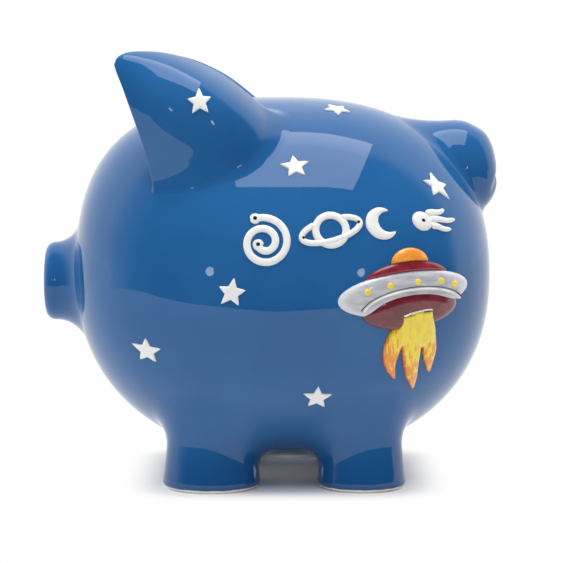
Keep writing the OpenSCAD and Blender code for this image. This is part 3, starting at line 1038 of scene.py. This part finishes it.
class PIGGY_OT_saucer(Operator):
    """Add the raised flying saucer with its painted lines and lights, and a black painted shadow behind the
    flame
    """

    bl_idname = "piggy.saucer"
    bl_label = "Saucer"

    def execute(self, context):
        over_rim = inside_of(SAUCER_MID, *RIM, SAUCER_TILT)
        over_hull = inside_of(HULL_MID, *HULL, SAUCER_TILT)

        def clear(share):
            return lambda a, b: np.clip((share(a, b) - 0.97) / 0.06, 0, 1)

        dome = pillow(FLANK, DOME_MID, ellipse(*DOME), 2.3, flatness=2.2, low=clear(over_hull))
        hull = pillow(FLANK, HULL_MID, ellipse(*HULL, SAUCER_TILT), 2.4, low=clear(over_rim), rows=30)
        rim = pillow(FLANK, SAUCER_MID, ellipse(*RIM, SAUCER_TILT), 2.6, flatness=7, rows=30, columns=200)
        belly = pillow(FLANK, BELLY_MID, ellipse(*BELLY, SAUCER_TILT), BELLY_UP, flatness=6, rows=30,
                       columns=160)
        parts = {
            "saucer_dome": ("orange", "dome_orange", [dome]),
            "saucer_hull": ("crimson", "hull_crimson", [hull]),
            "saucer_rim": ("rim", "rim_grey", [rim]),
            "saucer_underside": ("maroon", "underside_maroon", [belly]),
            "saucer_lip": ("ivory", "lip_white", [stroke(FLANK, beside_belly(0.4, 168, 8), 0.85, 3.3)]),
        }
        for node, (colour, slot, shells) in parts.items():
            build(node, shells, paint(colour), BANK, slot, [node])
        lights = []
        for number in range(5):
            q = math.radians(138 - 31 * number)
            x, y = turned(21.4 * math.cos(q), 4.6 * math.sin(q), SAUCER_TILT)
            lights.append(pillow(FLANK, (x, y + SAUCER_MID[1]), ellipse(1.45, 1.45), 0.75, base=2.35,
                                 flatness=2.2, columns=28, rows=8))
        build("saucer_lights", lights, paint("yellow"), BANK, "light_yellow", ["saucer_lights"])
        line = stroke(FLANK, beside_belly(1.5, 166, 10), 0.32, 2.85, columns=12)
        # Painted shadow: a flat black patch behind the flame's neck stands for the shade in the saucer's
        # opening there.
        exhaust_shadow = stroke(FLANK, [(5.2, -9.2), (6.1, -14.2)], 7.2, 3.5, ends=1.0, columns=24, full=0.3)
        build("black_line_and_painted_shadow", [line, exhaust_shadow], paint("black"), BANK, "dot_black")
        neck = [(-1.6, -10.3), (1.4, -9.2), (4.6, -8.5), (8.0, -7.9), (10.8, -7.9)]
        build("neck_line", [stroke(FLANK, neck, 0.42, 4.2)], paint("ivory"), BANK, "lip_white")
        return {"FINISHED"}


# Tongues of the flame and then its palm, in mm from the saucer's place on the flank: the middle line,
# its half widths, its heights, how full its section is, and how far along the flame's colours it starts
# and ends.
TONGUES = [
    ([(0.2, -15.5), (-3.2, -20.5), (-5.3, -26), (-5.8, -31), (-4.8, -35.2), (-3.2, -39.2)],
     [3.0, 4.0, 3.8, 3.1, 1.9, 0.3], [1.8, 2.3, 1.7], 0.8, (0.35, 1.0)),
    ([(9.4, -14), (10.4, -19.5), (11.2, -25), (11.2, -31), (11.9, -37.2)],
     [3.2, 3.6, 3.1, 2.1, 0.3], [1.8, 2.3, 1.6], 0.8, (0.2, 0.85)),
    ([(4.8, -14), (3.8, -20), (3.4, -26), (3.4, -32), (3.9, -38), (4.9, -44.4)],
     [5.0, 4.6, 4.2, 3.4, 2.4, 0.3], [2.2, 2.4, 1.8], 0.8, (0.1, 0.9)),
    ([(4.45, -8.35), (4.9, -11.5), (4.9, -16.3), (4.3, -21), (3.8, -25.5)],
     [6.4, 6.8, 8.3, 8.6, 3.0], [4.1, 4.0, 3.2, 2.5, 1.0], 0.3, (0.0, 0.16)),
]


class PIGGY_OT_flame(Operator):
    """Add the flame under the saucer"""

    bl_idname = "piggy.flame"
    bl_label = "Flame"

    def execute(self, context):
        shells = []
        for line, widths, up, full, (start, end) in TONGUES:
            points, faces, uv = stroke(FLANK, line, 2.6, up, widths=widths, columns=36, ends=1.2, full=full)
            shells.append((points, faces, uv * [end - start, 1] + [start, 0]))
        build("saucer_flame", shells, paint("flame"), BANK, "flame_yellow", ["saucer_flame"])
        return {"FINISHED"}


def star(cover, turn, size=6.6, above=0.9, seed=0.0):
    """A five-pointed star of slip. Between a tip and a notch the outline is a straight line, so its
    distance is tip * notch * sin 36 / (notch * sin(36 - q) + tip * sin q), and the tips differ a little
    in length."""
    def radius(q):
        point = np.floor((q + TURN / 10) / (TURN / 5))
        off = np.abs(q - point * TURN / 5)
        tip = size * (1 + 0.07 * np.sin(2.1 * point + seed))
        notch = size * 0.46
        fifth = TURN / 10
        far = tip * notch * math.sin(fifth) / (notch * np.sin(fifth - off) + tip * np.sin(off))
        return far * (1 - 0.05 * np.exp(-(off / 0.07) ** 2))
    return pillow(cover, (0, 0), radius, above, flatness=8, turn=turn, columns=200, rows=12)


FLANK_STARS = [((5, 40), 98), ((66, 43), 112), ((-21.5, 0), 82), ((-58, -22.5), 96), ((14.5, -35), 84)]
BACK_STAR = ((23.7, 71.6), 130)
EAR_STAR = (-30.2, 169.1)


class PIGGY_OT_stars(Operator):
    """Add the raised white stars"""

    bl_idname = "piggy.stars"
    bl_label = "Stars"

    def execute(self, context):
        slip_piece("flank_stars", [star(on_flank(*place), turn, seed=number * 1.7)
                                   for number, (place, turn) in enumerate(FLANK_STARS)])
        place, turn = BACK_STAR
        slip_piece("back_star", [star(on_flank(*place), turn, seed=4.0)])
        wall, trailing = ear_wall()
        rings = np.array([wall(np.full(len(trailing), v)) for v in np.linspace(0.3, 0.9, 60)])
        outer_face = rings[:, 8:82].reshape(-1, 3)
        ear = on_points(outer_face, np.array(EAR_STAR) * MM)
        slip_piece("ear_star", [star(ear, 94, size=5.9, seed=2.6)])
        return {"FINISHED"}


LINE_HALF, BALL = 1.6, 2.35
COMET_HEAD = (-1, 0)


def ringed(line):
    """The line with both ends drawn out so that a ball sits on each."""
    line = np.asarray(line, float)
    first, last = line[0] - line[1], line[-1] - line[-2]
    return np.vstack([line[0] + BALL * first / np.linalg.norm(first), line,
                      line[-1] + BALL * last / np.linalg.norm(last)])


def spiral(turns=1.75, inner=2.6, outer=11.0, count=40):
    """A spiral that widens evenly."""
    t = np.linspace(0, 1, count)
    r = inner + (outer - inner) * t
    return np.stack([r * np.cos(turns * TURN * t), r * np.sin(turns * TURN * t)], axis=-1)


def loop(a, b, tilt=0.0, start=0.0, sweep=360.0, count=40):
    """Part of an ellipse about the middle."""
    return arc_of((0, 0), a, b, tilt, start, start + sweep, count)


class PIGGY_OT_doodles(Operator):
    """Add the raised white space doodles with their black dots"""

    bl_idname = "piggy.doodles"
    bl_label = "Doodles"

    def execute(self, context):
        wave = np.linspace(0, 1, 12)
        tails = []
        for side in (-1, 0, 1):
            away = 2.5 + wave * (12.5 if side == 0 else 9.5)
            tails.append(np.stack(turned(away, 0.4 * np.sin(7 * wave) + 2.1 * side, 11 * side), axis=-1))
        galaxy, planet = (on_flank(-8, 15), 200), (on_flank(20, 19), 18)
        moon, comet = (on_flank(43, 22.5), 20), (on_flank(60, 25.5), 20)
        taper = [1.7, 1.5, 1.3, 1.1, 0.7]
        crescent = [0.3, 1.6, 2.5, 2.9, 2.5, 1.6, 0.3]
        head = pillow(comet[0], turned(*COMET_HEAD, comet[1]), ellipse(4.3, 4.3), 1.3, columns=48)
        doodles = {
            "galaxy_doodle": [line_of(galaxy, ringed(spiral()), ends=BALL)],
            "planet_doodle": [hoop(planet, 6.4),
                              line_of(planet, loop(12.8, 4.6, start=116, sweep=308), up=1.25, half=1.3)],
            "moon_doodle": [line_of(moon, loop(5.6, 5.6, start=55, sweep=250), widths=crescent)],
            "comet_doodle": [line_of(comet, tail, widths=taper) for tail in tails] + [head],
        }
        for node, shells in doodles.items():
            slip_piece(node, shells)
        ends = spiral()[[0, -1]]
        spots = [(galaxy, 1.0, ends[0]), (galaxy, 1.0, ends[1]), (planet, 1.0, (-12.4, 0)),
                 (planet, 1.0, (12.4, 0)), (comet, 1.2, COMET_HEAD)]
        dots = [pillow(cover, turned(*spot, turn), ellipse(0.85, 0.85), 0.25, base=base, columns=20, rows=5)
                for (cover, turn), base, spot in spots]
        build("doodle_dots", dots, paint("black"), BANK, "dot_black", ["doodle_dots"])
        return {"FINISHED"}


def line_of(place, line, up=1.0, half=LINE_HALF, **more):
    """A raised white line at a place, which is a cover and a turn."""
    cover, turn = place
    return stroke(cover, line, half, up, turn=turn, **more)


def hoop(place, radius, up=1.0, rows=120, columns=20):
    """A raised white line along a circle, closed on itself: its section is the bead of stroke."""
    cover, turn = place
    t = np.linspace(0, TURN, rows, endpoint=False)[:, None]
    q = np.linspace(0, TURN, columns, endpoint=False)
    r = radius + LINE_HALF * np.cos(q)
    flat = turned(r * np.cos(t), r * np.sin(t), turn)
    return tube_rings(cover(*flat, bead(q, up) + 0 * t), closed=True)


# ---------------------------------------------------------------- studio


class PIGGY_OT_studio(Operator):
    """Add the floor, the lights and the camera"""

    bl_idname = "piggy.studio"
    bl_label = "Studio"

    def execute(self, context):
        studio = context.scene.piggy_studio
        add_floor()
        add_world()
        add_softbox("overhead", (0.12, -0.13, 0.98), (0.12, -0.13, 0.0), (0.52, 0.74), 3.6)
        for name, x in (("left_lamp", -0.42), ("right_lamp", 0.58)):
            lamp = add_softbox(name, (x, -1.10, 0.22), (0.0, 0.0, 0.09), (0.07, 0.11), 0.12)
            lamp.data.shape = "ELLIPSE"
        for name, where, watts in (("top_fill", (0.0, -0.4, 1.6), 15), ("face_fill", (-1.6, 0.0, 0.6), 9)):
            fill = add_softbox(name, where, (0.0, 0.0, 0.08), (1.6, 1.6), watts)
            fill.visible_glossy = False
        aim = np.array([MIDDLE[0] + studio.aim_x, 0, studio.aim_z])
        back = np.array([0, -math.cos(studio.elevation), math.sin(studio.elevation)])
        camera = bpy.data.objects.new("camera", bpy.data.cameras.new("camera"))
        camera.location = aim + back * studio.distance
        camera.rotation_euler = (math.pi / 2 - studio.elevation, 0, 0)
        camera.data.sensor_width = 36
        camera.data.lens = 36 * studio.distance / studio.seen_width
        camera.data.clip_end = 100
        context.scene.collection.objects.link(camera)
        context.scene.camera = camera
        context.scene.view_settings.view_transform = "Standard"
        return {"FINISHED"}


def add_floor():
    """A wide white table with a round front edge that lies just out of the picture. Away from the bank
    it glows evenly, so that it melts into the backdrop."""
    wide, front, side, square = 12.0, 0.36, 0.6, 0.5
    q = np.linspace(math.pi, TURN, 97)
    along = side * np.sign(np.cos(q)) * np.abs(np.cos(q)) ** square
    ahead = -front * np.abs(np.sin(q)) ** square
    edge = np.stack([along, ahead, 0 * q], axis=-1).tolist()
    mesh = bpy.data.meshes.new("floor")
    outline = [(-wide, 0, 0), *edge, (wide, 0, 0), (wide, wide, 0), (-wide, wide, 0)]
    mesh.from_pydata(outline, [], [list(range(len(outline)))])
    p = new_paint("floor_paper")
    place = p.place()
    feet_middle, half_long, half_wide = 6.5 * MM, 40 * MM, 44 * MM
    beside = (abs(p.part(place, "X") - feet_middle) - half_long).at_least(0.0)
    before = (abs(p.part(place, "Y")) - half_wide).at_least(0.0)
    far = p.step((beside ** 2 + before ** 2) ** 0.5, 4 * MM, 34 * MM)
    black, paper, white = (0.0, 0.0, 0.0), (0.93, 0.93, 0.93), (1.0, 1.0, 1.0)
    mesh.materials.append(p.finish(Base_Color=p.mix(far, paper, black), Roughness=0.6, Specular_IOR_Level=0.0,
                                   Emission_Strength=1.0, Emission_Color=p.mix(far, black, white)))
    floor = bpy.data.objects.new("floor", mesh)
    bpy.context.scene.collection.objects.link(floor)


def add_world():
    """A white backdrop, an even light on matt surfaces, and for mirror reflections a bright half behind
    the bank and a dark room in front of it."""
    world = bpy.data.worlds.new("studio")
    bpy.context.scene.world = world
    p = Paint(world)
    way = p.node("ShaderNodeTexCoord", "Generated")
    back = p.step(p.part(way, "Y"), 0.02, 0.26)
    left = p.step(p.part(way, "Y") - p.part(way, "X").at_most(0.0) * 0.5, -0.1, 0.85)
    mirrored = p.mix(back, (0.030, 0.034, 0.040), (1.0, 1.0, 1.0))
    mirrored = p.mix(left, mirrored, (1.1, 1.1, 1.1))
    light = p.mix(p.node("ShaderNodeLightPath", "Is Glossy Ray"), (0.58, 0.58, 0.58), mirrored)
    light = p.mix(p.node("ShaderNodeLightPath", "Is Camera Ray"), light, (1.0, 1.0, 1.0))
    p.put(light, p.tree.nodes["Background"].inputs["Color"])


def add_softbox(name, where, aim, size, watts):
    """A rectangular soft light at where, turned towards aim."""
    light = bpy.data.lights.new(name, "AREA")
    light.shape = "RECTANGLE"
    light.size, light.size_y = size
    light.energy = watts
    lamp = bpy.data.objects.new(name, light)
    lamp.location = where
    lamp.rotation_euler = (Vector(aim) - Vector(where)).to_track_quat("-Z", "Y").to_euler()
    bpy.context.scene.collection.objects.link(lamp)
    return lamp


# ---------------------------------------------------------------- add-on


OPERATORS = [PIGGY_OT_barrel, PIGGY_OT_snout, PIGGY_OT_ears, PIGGY_OT_feet, PIGGY_OT_tail, PIGGY_OT_stopper,
             PIGGY_OT_saucer, PIGGY_OT_flame, PIGGY_OT_stars, PIGGY_OT_doodles, PIGGY_OT_studio]


class PIGGY_PT_panel(Panel):
    """The piggy bank's pieces"""

    bl_idname = "PIGGY_PT_panel"
    bl_label = "Piggy Bank"
    bl_space_type = "VIEW_3D"
    bl_region_type = "UI"
    bl_category = "Piggy Bank"

    def draw(self, context):
        for name, kind in SETTINGS.items():
            box = self.layout.box()
            for prop in kind.__annotations__:
                box.prop(getattr(context.scene, name), prop)
        for operator in OPERATORS:
            self.layout.operator(operator.bl_idname)


def register():
    for kind in (*SETTINGS.values(), *OPERATORS, PIGGY_PT_panel):
        bpy.utils.register_class(kind)
    for name, kind in SETTINGS.items():
        setattr(bpy.types.Scene, name, PointerProperty(type=kind))


def unregister():
    for name in SETTINGS:
        delattr(bpy.types.Scene, name)
    for kind in (PIGGY_PT_panel, *reversed(OPERATORS), *SETTINGS.values()):
        bpy.utils.unregister_class(kind)


def main():
    register()
    for operator in OPERATORS:
        group, name = operator.bl_idname.split(".")
        getattr(getattr(bpy.ops, group), name)()


if __name__ == "__main__":
    main()
